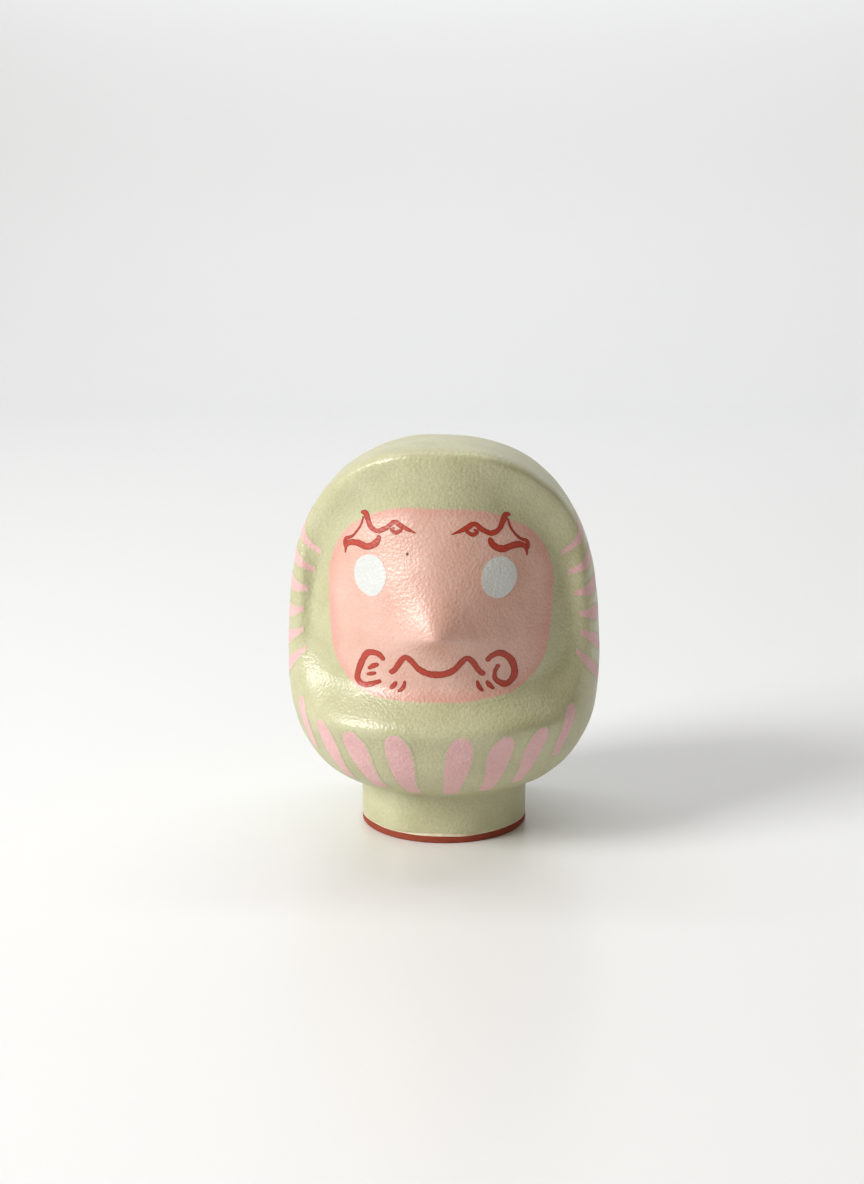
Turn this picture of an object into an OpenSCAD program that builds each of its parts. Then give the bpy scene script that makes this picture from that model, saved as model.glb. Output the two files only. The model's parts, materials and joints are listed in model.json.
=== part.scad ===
// Daruma doll on a short round foot: two moulded paper half shells pasted together
// over a clay weight, with the painted coats as thin solids that lie on the shell.
// Origin: centre of the base on the table, +Z up, the face looks along -Y.

/* [Body] */
// Height of the doll above the table
height = 82.7; // [66:0.1:100]
// Widest width of the body
body_w = 65; // [52:0.5:80]
// Height above the table at which the body is widest
belly_z = 38.4; // [34:0.2:44]
// Depth of the front half at its fullest, before the face is set back
front_depth = 32.6; // [26:0.2:38]
// Depth of the back half
back_depth = 30; // [24:0.5:37]
// Roundness of the dome as seen from the front (2 is an ellipse)
dome_round = 2.4; // [2:0.05:3]
// Roundness of the belly as seen from the front
belly_round = 2.95; // [2:0.05:3.5]
// Fullness of the hood's front edge as seen from the side
hood_full = 5.2; // [4:0.1:8]
// Squareness of the hood's top as seen from above (2 is an ellipse)
hood_square = 3.4; // [2.4:0.1:4]
// How far the head bows forward at the crown
bow = 5; // [0:0.5:8]

/* [Hood opening] */
// Drop from the crown to the forehead
brow_drop = 11.7; // [8:0.1:15]
// Height of the chin roll's lower edge above the table
chin_z = 27.4; // [25:0.2:32]
// Height of the chin roll
chin_roll = 9; // [6:0.2:11]
// How far the chin roll's lip stands out
chin_lip = 1.4; // [0:0.1:2.5]
// Height of the rolled brow
brow_roll = 15; // [11:0.2:18]
// Width of the rolled rim at each side
side_roll = 7; // [5:0.2:9]
// How far the brim stands out from the face round it
brim = 3.6; // [2:0.2:6]
// Softness of the brim's edge
brim_soft = 5.4; // [2:0.2:7]
// Softness of the opening's corners
corner_soft = 1.2; // [0.4:0.1:1.6]

/* [Face] */
// Distance of the forehead in front of the doll's axis
forehead_out = 22.8; // [20:0.2:25]
// How much further out the chin is than the forehead
chin_out = 5.5; // [3:0.1:8]
// How far the cheeks fall back beside the nose
cheek_back = 9; // [5:0.2:10]
// Height of the nose above the face
nose_out = 8.2; // [5:0.1:9]
// Width of the nose at its base
nose_w = 24; // [16:0.5:28]
// Length of the nose's upper slope
nose_rise = 15; // [10:0.5:18]
// Length of the slope under the nose
nose_fall = 4.8; // [4:0.1:8]
// Width of the painted face
face_w = 44.4; // [36:0.2:50]
// Width of an eye
eye_w = 6.7; // [4:0.1:9]
// Height of an eye
eye_h = 7.9; // [5:0.1:10]

/* [Foot] */
// Diameter of the foot
foot_d = 35; // [28:0.5:42]
// Height of the foot above the table, up to the belly
foot_h = 10.4; // [8:0.1:14]
// Softness of the corner between foot and belly
foot_fillet = 1.6; // [0.6:0.1:3]
// Height of the bare clay band at the bottom
clay_band = 1.6; // [1:0.1:3]
// Height of the primer bead above the clay band
primer_bead = 0.5; // [0.3:0.05:1]
// Chamfer on the clay's lower edge
clay_chamfer = 0.5; // [0.2:0.1:1]
// Length of the clay plug inside the foot, from the table
plug_len = 13; // [9:0.5:18]
// Diameter of the hole for the painter's stick
stick_d = 6; // [3:0.5:9]

/* [Thicknesses and fits] */
// Wall of the moulded paper shell
wall = 1.8; // [1:0.1:2.5]
// Thickness of the pasted seam paper
seam_t = 0.4; // [0.2:0.05:0.8]
// Width of the pasted seam paper
seam_w = 8; // [5:0.5:12]
// Thickness of the paint coats
coat_t = 0.15; // [0.1:0.05:0.4]
// Clearance under the paint coats and seam papers
coat_gap = 0.1; // [0.02:0.01:0.2]
// Clearance between the clay plug and the paper foot
plug_gap = 0.15; // [0.05:0.05:0.4]

/* [Stripes] */
// Width of a belly stripe at its rounded top
belly_stripe_w = 5.2; // [3:0.2:6]
// Width of a side stripe at its outer end
side_stripe_w = 3; // [1.5:0.1:3.4]
// Side stripes on each side of the hood
side_stripes = 6; // [3:1:7]
// Belly stripes on each side of the middle
belly_stripes = 4; // [2:1:4]

/* [Hidden] */
$fn = 96;

half_w = body_w / 2;
foot_r = foot_d / 2;
dome_rise = height - belly_z;
// The belly's outline runs down to the foot's radius at the foot's top
belly_drop = (belly_z - foot_h) / super(foot_r / half_w, belly_round);
shell_z0 = clay_band + primer_bead;
face_top = height - brow_drop;
face_span = face_top - chin_z;
nose_z = chin_z + 0.445 * face_span;
lip_z = chin_z + 0.4;    // middle of the chin roll's lip
lip_h = 3.6;             // height over which the lip swells and fades
square_up = 0.59;        // shares of the face from which the hood turns square
brim_up = 0.43;          // and the brim comes in,
blend_up = 0.37;         // and the share over which both change
brim_free = 10;          // below that the roll may stand out this much more
nose_taper = 0.95;       // how the nose falls off; less is more pointed
hand_shift = -0.7;       // brows and eyes are painted slightly off the middle
round_plan = 2.15;       // roundness of belly and back, seen from above
tiny = 1e-6;             // keeps a division away from zero
side_span = 43.6;        // face height for which the side stripes' drops are given

green = "#c3c69c";
pink = "#e2b8a8";
stripe_pink = "#dcb0b2";
brown_red = "#b5483a";
clay = "#8e3f2c";
paper = "#cdbf9e";
primer = "#ece6d6";
white = "#e6e7e2";

// ---- smooth curves ----
function clamp01(t) = min(1, max(0, t));
function ease(t) = let (u = clamp01(t)) u * u * (3 - 2 * u);
function super(t, q) = pow(max(0, 1 - pow(clamp01(t), q)), 1 / q);
function soft_min(a, b, k) = let (h = clamp01(0.5 + 0.5 * (b - a) / k))
    b * (1 - h) + a * h - k * h * (1 - h);
function soft_max(a, b, k) = -soft_min(-a, -b, k);
function mix(a, b, t) = a + (b - a) * t;

// ---- outline of the body at height z; inset moves the surface inwards ----
function bowed(z) = bow * ease((z - belly_z) / dome_rise);
function above(z) = z >= belly_z;
function rise(z, inset) = above(z) ? clamp01((z - belly_z) / (dome_rise - inset))
                                   : clamp01((belly_z - z) / (belly_drop - inset));
function outline(z, inset) = super(rise(z, inset), above(z) ? dome_round : belly_round);
function with_foot(r, z, inset) = above(z) ? r : soft_max(r, foot_r - inset, foot_fillet);
function half_width(z, inset) =
    with_foot((half_w - inset) * outline(z, inset), z, inset);
// Below the chin the depth turns into the half width, so the belly is round
function front_half(z, inset) = chin_lip * exp(-pow((z - lip_z) / lip_h, 2)) + (above(z)
    ? (front_depth - inset) * super(rise(z, inset), hood_full)
    : with_foot((mix(half_w, front_depth, ease((z - 14) / 16)) - inset) * outline(z, inset),
                z, inset));
function back_half(z, inset) = above(z)
    ? (back_depth - inset) * outline(z, inset)
    : with_foot((mix(half_w, back_depth, ease((z - 12) / 22)) - inset) * outline(z, inset),
                z, inset);
function up_from(share, z) = ease(((z - chin_z) / face_span - share) / blend_up);
function plan(z, c) = mix(round_plan, hood_square, up_from(square_up, z) * ease((c + 0.25) / 0.6));

// ---- face inside the hood: a leaning plane, rounded cheeks and a peaked nose ----
function face_out(x, z) =
    let (up = z > nose_z,
         r = sqrt(pow(x / (nose_w / 2), 2)
                  + pow((z - nose_z) / (up ? nose_rise : nose_fall), 2) + 0.02))
    forehead_out + chin_out * (face_top - z) / face_span
    - cheek_back * pow(x / (face_w / 2), 2) + nose_out * exp(-pow(r, nose_taper));
// 1 on the face, 0 on the hood, with a rolled edge between
function opening(x, z, w) = ease(soft_min(
    soft_min((w - abs(x)) / side_roll, (height - z) / brow_roll, corner_soft),
    (z - chin_z) / chin_roll, corner_soft));
// Depth of the front: the hood stands no more than a brim out from the face inside it
function front_out(x, z, out, w, inset) =
    let (inner = face_out(x, z) - bowed(z) - inset,
         limit = inner + brim + brim_free * (1 - up_from(brim_up, z)))
    mix(soft_min(out, limit, brim_soft), inner, opening(x, z, w + inset));

// ---- point of the surface at a turn angle from the front, and at height z ----
function skin(turn, z, inset) =
    let (w = half_width(z, inset), c = cos(turn), s = sin(turn),
         d = c > 0 ? front_half(z, inset) : back_half(z, inset),
         n = plan(z, c),
         r = pow(pow(abs(s) / (w + tiny), n) + pow(abs(c) / (d + tiny), n), -1 / n),
         x = r * s)
    [x, -bowed(z) - (c > 0 ? front_out(x, z, r * c, w, inset) : r * c), z];
// Point of the front at a place [x, z]
function front(x, z, inset) =
    let (w = half_width(z, inset), n = plan(z, 1),
         d = front_half(z, inset) * pow(max(0, 1 - pow(abs(x) / w, n)), 1 / n))
    [x, -bowed(z) - front_out(x, z, d, w, inset), z];

// ---- solids between two grids of points ----
function grid_faces(rows, cols, first, flip) = [
    for (r = [0:rows - 2]) for (c = [0:cols - 2])
        let (a = first + r * cols + c, b = a + cols)
        for (t = flip ? [[a, b + 1, b], [a, a + 1, b + 1]] : [[a, b, b + 1], [a, b + 1, a + 1]])
            t];
function quad(a, b, c, d) = [[a, b, c], [a, c, d]];
function flat(l) = [for (a = l) for (b = a) b];
// Closed solid between an outer and an inner grid of the same size
module slab(outer, inner) {
    rows = len(outer);
    cols = len(outer[0]);
    n = rows * cols;
    top = (rows - 1) * cols;
    polyhedron(points = concat(flat(outer), flat(inner)), faces = concat(
        grid_faces(rows, cols, 0, false),
        grid_faces(rows, cols, n, true),
        [for (c = [0:cols - 2]) for (t = quad(c, c + 1, n + c + 1, n + c)) t],
        [for (c = [0:cols - 2]) for (t = quad(top + c + 1, top + c, n + top + c, n + top + c + 1)) t],
        [for (r = [0:rows - 2]) let (a = r * cols, b = a + cols) for (t = quad(b, a, n + a, n + b)) t],
        [for (r = [0:rows - 2]) let (a = r * cols + cols - 1, b = a + cols)
            for (t = quad(a, b, n + b, n + a)) t]), convexity = 6);
}
// Closed round solid: rings from the edge inwards, then a middle point, outside and inside
module disc(outer, inner, mid_out, mid_in) {
    rings = len(outer);
    cols = len(outer[0]);
    n = rings * cols;
    last = (rings - 1) * cols;
    polyhedron(points = concat(flat(outer), flat(inner), [mid_out, mid_in]), faces = concat(
        [for (r = [0:rings - 2]) for (c = [0:cols - 1])
            let (a = r * cols + c, b = r * cols + (c + 1) % cols)
            for (t = quad(a, a + cols, b + cols, b)) t],
        [for (r = [0:rings - 2]) for (c = [0:cols - 1])
            let (a = n + r * cols + c, b = n + r * cols + (c + 1) % cols)
            for (t = quad(a, b, b + cols, a + cols)) t],
        [for (c = [0:cols - 1]) let (d = (c + 1) % cols) for (t = quad(c, d, n + d, n + c)) t],
        [for (c = [0:cols - 1]) [last + c, 2 * n, last + (c + 1) % cols]],
        [for (c = [0:cols - 1]) [n + last + c, n + last + (c + 1) % cols, 2 * n + 1]]),
        convexity = 6);
}

// ---- paper shells ----
// Heights of the shell's rows: foot, corner, body and dome
neck_z = foot_h - foot_fillet;
dome_z = face_top;
body_rows = 31;
dome_rows = 8;
row_crowd = 0.35;        // how much closer the rows lie round the chin and the nose
row_turn = 32;           // degrees by which that place is moved up
function crowd(u) = u + row_crowd * (sin(360 * u + row_turn) - sin(row_turn)) / 2 / PI;
rows_z = concat(
    [for (i = [0:1]) mix(shell_z0, neck_z, i / 2)],
    [for (i = [0:3]) neck_z + i * foot_fillet / 2],
    [for (i = [0:body_rows]) mix(neck_z + 2 * foot_fillet, dome_z, crowd(i / body_rows))],
    [for (i = [1:dome_rows]) dome_z + (height - dome_z) * sin(90 * i / (dome_rows + 1))]);
// Rows of the inner wall are squeezed under the inner crown
function inner_z(z) = z < dome_z ? z : dome_z + (z - dome_z) * (1 - wall / (height - dome_z));
module half_shell(from, to, cols) {
    outer = [for (z = rows_z) [for (i = [0:cols]) skin(mix(from, to, i / cols), z, 0)]];
    inner = [for (z = rows_z) [for (i = [0:cols]) skin(mix(from, to, i / cols), inner_z(z), wall)]];
    rows = len(rows_z);
    k = cols + 1;
    n = rows * k;
    top = n - k;
    polyhedron(points = concat(flat(outer), flat(inner), [[0, -bow, height], [0, -bow, height - wall]]),
        faces = concat(
        grid_faces(rows, k, 0, false),
        grid_faces(rows, k, n, true),
        [for (c = [0:cols - 1]) for (t = quad(c, c + 1, n + c + 1, n + c)) t],
        [for (r = [0:rows - 2]) let (a = r * k, b = a + k) for (t = quad(b, a, n + a, n + b)) t],
        [for (r = [0:rows - 2]) let (a = r * k + cols, b = a + k) for (t = quad(a, b, n + b, n + a)) t],
        [for (c = [0:cols - 1]) [top + c, 2 * n, top + c + 1]],
        [for (c = [0:cols - 1]) [n + top + c, n + top + c + 1, 2 * n + 1]],
        quad(2 * n, top, n + top, 2 * n + 1),
        quad(top + cols, 2 * n, 2 * n + 1, n + top + cols)), convexity = 8);
}
front_cols = 40;
back_cols = 20;
module front_shell() {
    color(green) half_shell(-90, 90, front_cols);
}
module back_shell() {
    color(green) half_shell(90, 270, back_cols);
}

// ---- papers pasted inside over the seam ----
seam_low = plug_len + 2;
seam_high = height - brow_drop * 0.45;
seam_rows = 30;
// Between its columns the shell is flat, and comes this much further in than its curve
flat_in = pow(half_w, 3) * pow(PI / back_cols, 2) / 8 / pow(back_depth, 2);
seam_in = wall + coat_gap + flat_in;
module seam_paper(side) {
    function strip(inset) = [for (i = [0:seam_rows])
        let (z = mix(seam_low, seam_high, sin(90 * i / seam_rows)),
             reach = atan(seam_w / 2 / half_width(z, inset)))
        [for (j = [-2:2]) skin(side + reach * j / 2, z, inset)]];
    color(paper) slab(strip(seam_in), strip(seam_in + seam_t));
}
module seam_paper_left() {
    seam_paper(-90);
}
module seam_paper_right() {
    seam_paper(90);
}
// Round paper under the crown, where the two side papers end
module crown_paper() {
    low = seam_high + 0.8;
    function ring(i, inset) = [for (j = [0:31])
        skin(j * 360 / 32, mix(low, height - inset, sin(18 * i)), inset)];
    color(paper) disc([for (i = [0:4]) ring(i, seam_in)], [for (i = [0:4]) ring(i, seam_in + seam_t)],
                      [0, -bow, height - seam_in], [0, -bow, height - seam_in - seam_t]);
}

// ---- clay weight that plugs the foot ----
plug_r = foot_r - wall - plug_gap;
module foot_weight() {
    color(clay) rotate_extrude($fn = 96) polygon([
        [stick_d / 2, 0], [foot_r - clay_chamfer, 0], [foot_r, clay_chamfer],
        [foot_r, clay_band], [plug_r, clay_band], [plug_r, plug_len - clay_chamfer],
        [plug_r - clay_chamfer, plug_len], [stick_d / 2, plug_len]]);
}
// Bead of white primer between the clay and the green coat
module primer_edge() {
    color(primer) rotate_extrude($fn = 96) polygon([
        [foot_r - wall, clay_band], [foot_r - 0.1, clay_band],
        [foot_r, shell_z0], [foot_r - wall, shell_z0]]);
}

// ---- painted face: layout in hundredths, across from the middle (100 is the body's
// half width) and up from the chin roll's edge (100 is the top of the face) ----
function place(p) = [p[0] * half_w / 100, chin_z + p[1] * face_span / 100];
function on_coat(x, z) = front(x, z, -coat_gap - coat_t);
// Point of a rounded outline about a middle; k is its squareness above and below
function oval(a, w, h, kup, klow) =
    let (k = sin(a) > 0 ? kup : klow)
    [w * sign(cos(a)) * pow(abs(cos(a)), 2 / k), h * sign(sin(a)) * pow(abs(sin(a)), 2 / k)];
patch_mid = 0.567;                     // middle and half height of the painted face
patch_half = 0.429;
module face_coat() {
    mid = [0, nose_z];
    c = [0, chin_z + patch_mid * face_span];
    rings = 10;
    function ring(i, lift) = [for (j = [0:47])
        let (e = c + oval(j * 7.5, face_w / 2, patch_half * face_span, 2.7, 3.4),
             p = mix(e, mid, i / rings))
        front(p[0], p[1], -lift)];
    color(pink) disc([for (i = [0:rings - 1]) ring(i, coat_gap + coat_t)],
        [for (i = [0:rings - 1]) ring(i, coat_gap)],
        front(mid[0], mid[1], -coat_gap - coat_t), front(mid[0], mid[1], -coat_gap));
}
// Brush marks lie on the face coat
mark_low = 2 * coat_gap + coat_t;
mark_high = mark_low + coat_t;
module eye(side) {
    m = place([side * 38.8, 68.8]) + [hand_shift, 0];
    function ring(s, lift) = [for (j = [0:31])
        let (p = m + s * [cos(j * 11.25) * eye_w / 2, sin(j * 11.25) * eye_h / 2])
        front(p[0], p[1], -lift)];
    color(white) disc([for (s = [1, 0.66, 0.33]) ring(s, mark_high)],
        [for (s = [1, 0.66, 0.33]) ring(s, mark_low)],
        front(m[0], m[1], -mark_high), front(m[0], m[1], -mark_low));
}
module eye_white_left() {
    eye(-1);
}
module eye_white_right() {
    eye(1);
}
// Smooth curve through the given points, each [across, up, half width]
function curve_at(p, i, t) =
    let (n = len(p), a = p[max(0, i - 1)], b = p[i], c = p[i + 1], d = p[min(n - 1, i + 2)])
    0.5 * (2 * b + (c - a) * t + (2 * a - 5 * b + 4 * c - d) * t * t
           + (3 * b - a - 3 * c + d) * t * t * t);
function curve(p, steps) = concat(
    [for (i = [0:len(p) - 2]) for (s = [0:steps - 1]) curve_at(p, i, s / steps)],
    [p[len(p) - 1]]);
module brush(points, side, shift, steps = 4) {
    line = [for (q = curve(points, steps))
        let (m = place(q)) [side * m[0] + shift, m[1], max(0.06, q[2])]];
    n = len(line);
    // direction across the stroke, from its neighbours
    function across(i) = let (d = line[min(n - 1, i + 1)] - line[max(0, i - 1)],
                              l = norm([d[0], d[1]])) [-d[1], d[0]] / l;
    function edges(lift) = [for (i = [0:n - 1]) let (s = across(i) * line[i][2])
        [for (k = [1, -1]) front(line[i][0] + k * s[0], line[i][1] + k * s[1], -lift)]];
    slab(edges(mark_high), edges(mark_low));
}
// Brow: a crane with its beak to the middle, head, neck, wing and a trailing fan
module brow(side) {
    neck = [[10.5, 88.3, 0.08], [18.8, 90.8, 0.5], [23.7, 92.7, 0.45], [28.9, 89.9, 0.45],
            [34.2, 88.3, 0.5], [38.5, 89.9, 0.5], [40.6, 93.3, 0.55], [42.2, 95.9, 0.6],
            [45.2, 96.3, 0.25]];
    eye_curl = [[18.8, 89.6, 0.3], [22.8, 88.1, 0.4], [25.5, 89.3, 0.3], [23.4, 90.4, 0.2]];
    edge = [[43.4, 94.3, 0.18], [45.5, 89.7, 0.2], [50.2, 85.3, 0.25], [54.8, 83.5, 0.35],
            [55.7, 81, 0.3], [55.1, 79.4, 0.15]];
    fan_low = [[32.6, 86.5, 0.4], [35.1, 83, 0.6], [40.6, 81, 0.65], [46.5, 82.1, 0.65],
               [51.7, 82.1, 0.55], [54.5, 80.3, 0.35], [55.1, 77, 0.1]];
    color(brown_red) {
        brush(neck, side, hand_shift);
        brush(eye_curl, side, hand_shift, 3);
        brush(edge, side, hand_shift, 3);
        brush(fan_low, side, hand_shift, 3);
    }
}
module brow_left() {
    brow(-1);
}
module brow_right() {
    brow(1);
}
moustache_half = [[0, 26.1, 0.68], [5.5, 26.6, 0.68], [10.8, 28.7, 0.62], [18.5, 33.9, 0.58],
                  [25.5, 27.3, 0.55], [28.9, 25.5, 0.45]];
function mirrored(p) = [for (i = [len(p) - 1:-1:1]) [-p[i][0], p[i][1], p[i][2]]];
module moustache() {
    color(brown_red) brush(concat(mirrored(moustache_half), moustache_half), 1, 0);
}
module cheek_curl_left() {
    color(brown_red) {
        brush([[31.7, 31.2, 0.45], [36, 34, 0.6], [42.5, 33.5, 0.62], [47, 27.5, 0.62],
               [48.9, 20.9, 0.58], [43.7, 18.6, 0.55], [33.8, 21.3, 0.4]], -1, 0);
        brush([[35.4, 29.1, 0.3], [38.8, 27.9, 0.5], [42.2, 26.1, 0.3]], -1, 0, 3);
        brush([[36.9, 24.8, 0.25], [40, 24.1, 0.4], [43.1, 23.4, 0.25]], -1, 0, 3);
    }
}
module cheek_curl_right() {
    color(brown_red) brush([[29.5, 31.7, 0.45], [33, 34.2, 0.58], [38.5, 34.9, 0.62],
        [44.6, 30.7, 0.66], [46.2, 24.1, 0.66], [41.5, 20.2, 0.62], [35.4, 22.5, 0.5],
        [34.6, 26.1, 0.35], [36.9, 29.8, 0.5]], 1, 0);
}
module chin_whiskers() {
    color(brown_red) {
        brush([[24.3, 21.8, 0.25], [26.2, 19.7, 0.5], [28.6, 18.3, 0.3]], -1, 0, 3);
        brush([[19.1, 22.5, 0.25], [20.3, 19.3, 0.4], [23.7, 17.2, 0.2]], -1, 0, 3);
        brush([[24, 22.9, 0.25], [25.2, 20, 0.42], [27.7, 17.7, 0.2]], 1, 0, 3);
        brush([[29.5, 22.5, 0.3], [31.4, 20.4, 0.45], [34.2, 18.3, 0.25]], 1, 0, 3);
    }
}

// ---- stripes ----
// Stripe between two places [turn, z]; half widths run w0, w1, w2 from tip to end
function stripe_w(t, w0, w1, w2) = mix(t < 0.7 ? mix(w0, w1, ease(t / 0.7)) : w1, w2,
                                       pow(clamp01((t - 0.7) / 0.3), 3));
stripe_steps = 8;
// One side stripe; f runs from 0 at the top stripe to 1 at the lowest. The tips lie close
// together beside the face, and the outer ends fan out on the hood's side.
side_tip_drop = [10.5, 30.6];
side_end_drop = [3.5, 38];
side_end_turn = 82;
module side_stripe(side, f) {
    tip_z = face_top - mix(side_tip_drop[0], side_tip_drop[1], f) * face_span / side_span;
    end_z = face_top - mix(side_end_drop[0], side_end_drop[1], f) * face_span / side_span;
    tip_turn = 45 + 13 * sin(126 * f);
    function rows(lift) = [for (s = [0:stripe_steps])
        let (t = s / stripe_steps, turn = mix(tip_turn, side_end_turn, t),
             z = mix(tip_z, end_z, t), w = stripe_w(t, 0.55, side_stripe_w / 2, 0.25))
        [for (k = [-1, 0, 1]) skin(side * turn, z - side * k * w, -lift)]];
    slab(rows(coat_gap + coat_t), rows(coat_gap));
}
module side_stripe_set(side) {
    color(stripe_pink) for (i = [0:side_stripes - 1]) side_stripe(side, i / (side_stripes - 1));
}
module side_stripes_left() {
    side_stripe_set(-1);
}
module side_stripes_right() {
    side_stripe_set(1);
}
// Belly stripes hang from under the chin roll towards the foot
belly_turns = [11.5, 27.4, 41.2, 55.1];
belly_tops = [0, -0.4, 0.5, 3.5];
belly_ends = [1.6, 2.8, 4.5, 10];
belly_shares = [1, 0.95, 0.8, 0.72];  // of the stripe width
module belly_stripe(side, i) {
    top_z = chin_z + belly_tops[i];
    end_z = foot_h + belly_ends[i];
    turn = side * belly_turns[i] - 2.9;
    wide = belly_stripe_w * belly_shares[i];
    function rows(lift) = [for (s = [0:stripe_steps])
        let (t = s / stripe_steps, z = mix(end_z, top_z, t),
             w = stripe_w(t, wide * 0.3, wide / 2, 0.7),
             a = w / half_width(z, 0) * 180 / PI)
        [for (k = [-2:2]) skin(turn - side * 2 * (1 - t) + k * a / 2, z, -lift)]];
    slab(rows(coat_gap + coat_t), rows(coat_gap));
}
module belly_stripes_front() {
    color(stripe_pink) for (side = [-1, 1]) for (i = [0:belly_stripes - 1]) belly_stripe(side, i);
}

front_shell();
back_shell();
seam_paper_left();
seam_paper_right();
crown_paper();
foot_weight();
primer_edge();
face_coat();
eye_white_left();
eye_white_right();
brow_left();
brow_right();
moustache();
cheek_curl_left();
cheek_curl_right();
chin_whiskers();
side_stripes_left();
side_stripes_right();
belly_stripes_front();
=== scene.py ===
import json

import bpy
import numpy as np
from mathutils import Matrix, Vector


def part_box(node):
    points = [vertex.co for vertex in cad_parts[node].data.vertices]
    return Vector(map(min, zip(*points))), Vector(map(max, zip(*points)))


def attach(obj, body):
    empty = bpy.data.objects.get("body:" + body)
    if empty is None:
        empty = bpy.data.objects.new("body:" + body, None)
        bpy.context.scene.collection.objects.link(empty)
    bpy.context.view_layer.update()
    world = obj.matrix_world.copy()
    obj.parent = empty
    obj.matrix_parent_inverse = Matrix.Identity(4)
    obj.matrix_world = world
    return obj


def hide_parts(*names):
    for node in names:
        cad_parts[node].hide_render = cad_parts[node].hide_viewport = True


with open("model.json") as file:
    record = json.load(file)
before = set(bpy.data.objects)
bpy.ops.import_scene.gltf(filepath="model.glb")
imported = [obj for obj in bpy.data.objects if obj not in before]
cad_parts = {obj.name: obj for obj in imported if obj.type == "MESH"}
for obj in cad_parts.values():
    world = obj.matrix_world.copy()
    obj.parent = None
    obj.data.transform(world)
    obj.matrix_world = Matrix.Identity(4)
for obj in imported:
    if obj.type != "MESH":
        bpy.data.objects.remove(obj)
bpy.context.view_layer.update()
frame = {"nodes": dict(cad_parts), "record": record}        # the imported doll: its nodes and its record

mm = 0.001               # every shape below is worked out in millimetres
print("frame loaded:", len(frame["nodes"]), "nodes")

shellLow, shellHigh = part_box("front_shell")
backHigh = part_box("back_shell")[1]
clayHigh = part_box("foot_weight")[1]
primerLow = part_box("primer_edge")[0]
stickHole = next(m for m in frame["record"]["mounts"] if m["name"] == "stick_hole")

# Form of the doll in mm. Sizes come from the frame; the rest is the roundness of its outlines
doll = {
    "height": shellHigh.z / mm,
    "halfWidth": shellHigh.x / mm,
    "backDepth": backHigh.y / mm,
    "frontDepth": 32.6,
    "bellyZ": 38.4,              # height of the widest place
    "domeRound": 2.4,            # 2 is an ellipse, more is squarer
    "bellyRound": 2.95,
    "hoodFull": 5.2,             # side view of the hood's front
    "hoodSquare": 3.4,           # top of the hood seen from above
    "squareUp": 0.59,            # the hood turns square from here, as a share of the face
    "squareFrom": -0.25,         # and in plan from here to there, as the cosine of the turn
    "squareTo": 0.35,
    "roundPlan": 2.15,           # belly and back seen from above
    "bow": 5.0,                  # the head bows this far forward at the crown
    "frontBlend": (14.0, 30.0),  # heights between which the round belly takes the front's depth
    "backBlend": (12.0, 34.0),   # and the back's depth
    "shellLow": shellLow.z / mm,
    "footRadius": clayHigh.x / mm,
    "footTop": 10.4,
    "footFillet": 1.6,
    "wall": 1.8,
}
doll["domeRise"] = doll["height"] - doll["bellyZ"]

# Opening of the hood and the face inside it
face = {
    "top": doll["height"] - 11.7,
    "chin": 27.4,
    "chinRoll": 9.0,             # height of the roll under the face
    "chinLip": 1.4,              # how far the roll's lip stands out
    "lipUp": 0.4,                # middle of the lip above the roll's lower edge
    "lipHeight": 3.6,
    "sideRoll": 7.0,             # width of the rolled rim at each side
    "browRoll": 15.0,            # height of the rolled brow
    "brim": 3.6,                 # how far the brim stands out from the face round it
    "brimSoft": 5.4,
    "brimUp": 0.43,              # the brim comes in from here, as a share of the face
    "brimFree": 10.0,            # below that the roll may stand out this much more
    "blendUp": 0.37,             # share of the face over which hood and brim change
    "cornerSoft": 1.2,
    "foreheadOut": 22.8,         # from the doll's axis
    "chinOut": 5.5,              # how much further out the chin is
    "cheekBack": 9.0,
    "halfWidth": 22.2,
    "noseUp": 0.445,             # height of the nose's tip, as a share of the face
    "noseOut": 8.2,
    "noseWidth": 24.0,
    "noseRise": 15.0,
    "noseFall": 4.8,
    "noseSoft": 0.02,            # blunts the very tip
    "noseTaper": 0.95,           # less is more pointed
}
face["span"] = face["top"] - face["chin"]
face["noseZ"] = face["chin"] + face["noseUp"] * face["span"]


def ease(t):                     # 0 to 1 with a slow start and a slow end
    t = np.clip(t, 0, 1)
    return t * t * (3 - 2 * t)


def ramp(value, start, end):     # eased from 0 at start to 1 at end
    return ease((value - start) / (end - start))


def mix(a, b, t):
    return a + (b - a) * t


def roundOff(t, power):          # superellipse: the width that is left at t of the way
    return np.maximum(1 - np.clip(t, 0, 1) ** power, 0) ** (1 / power)


def softMin(a, b, soft):
    h = np.clip(0.5 + 0.5 * (b - a) / soft, 0, 1)
    return mix(b, a, h) - soft * h * (1 - h)


def softMax(a, b, soft):
    return -softMin(-a, -b, soft)


bellyDrop = (doll["bellyZ"] - doll["footTop"]) / roundOff(doll["footRadius"] / doll["halfWidth"],
                                                          doll["bellyRound"])


def bowed(z):                    # forward bow of the head at height z
    return doll["bow"] * ease((z - doll["bellyZ"]) / doll["domeRise"])


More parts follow.
